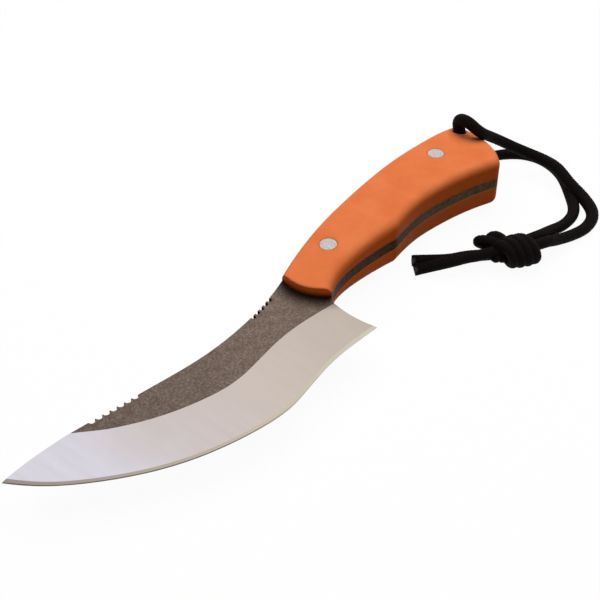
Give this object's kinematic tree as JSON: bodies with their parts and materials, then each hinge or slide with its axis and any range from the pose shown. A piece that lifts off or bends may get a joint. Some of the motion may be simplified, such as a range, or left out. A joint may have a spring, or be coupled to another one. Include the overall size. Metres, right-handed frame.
{
  "type": "fixed-blade utility knife",
  "caption": "Full-tang fixed-blade knife with an upswept blade, contoured orange scales held by flush rivets, and a knotted black wrist lanyard through the butt.",
  "frame": {"origin": "on the flat land of the lower scale's outer face, where the knife rests; the line through both rivets is Y = 0", "axes": "+X towards the blade's point, +Y towards the cutting edge, +Z out of the upper scale"},
  "size_m": [0.2594, 0.0705, 0.0272],
  "materials": {
    "blade_steel": "stone-washed flats and tang, bright polished grinds",
    "grip_laminate": "orange glass-fibre laminate, fine satin",
    "rivet_steel": "ground flush, satin",
    "lanyard_cord": "black braided nylon"
  },
  "bodies": {
    "root": {"blade": "blade_steel", "upper_scale": "grip_laminate", "lower_scale": "grip_laminate", "front_rivet_socket": "rivet_steel", "front_rivet_post": "rivet_steel", "rear_rivet_socket": "rivet_steel", "rear_rivet_post": "rivet_steel", "lanyard_bore_run": "lanyard_cord", "lanyard_upper_strand": "lanyard_cord", "lanyard_lower_strand": "lanyard_cord", "lanyard_knot": "lanyard_cord", "lanyard_upper_tail": "lanyard_cord", "lanyard_lower_tail": "lanyard_cord"}
  },
  "joints": []
}
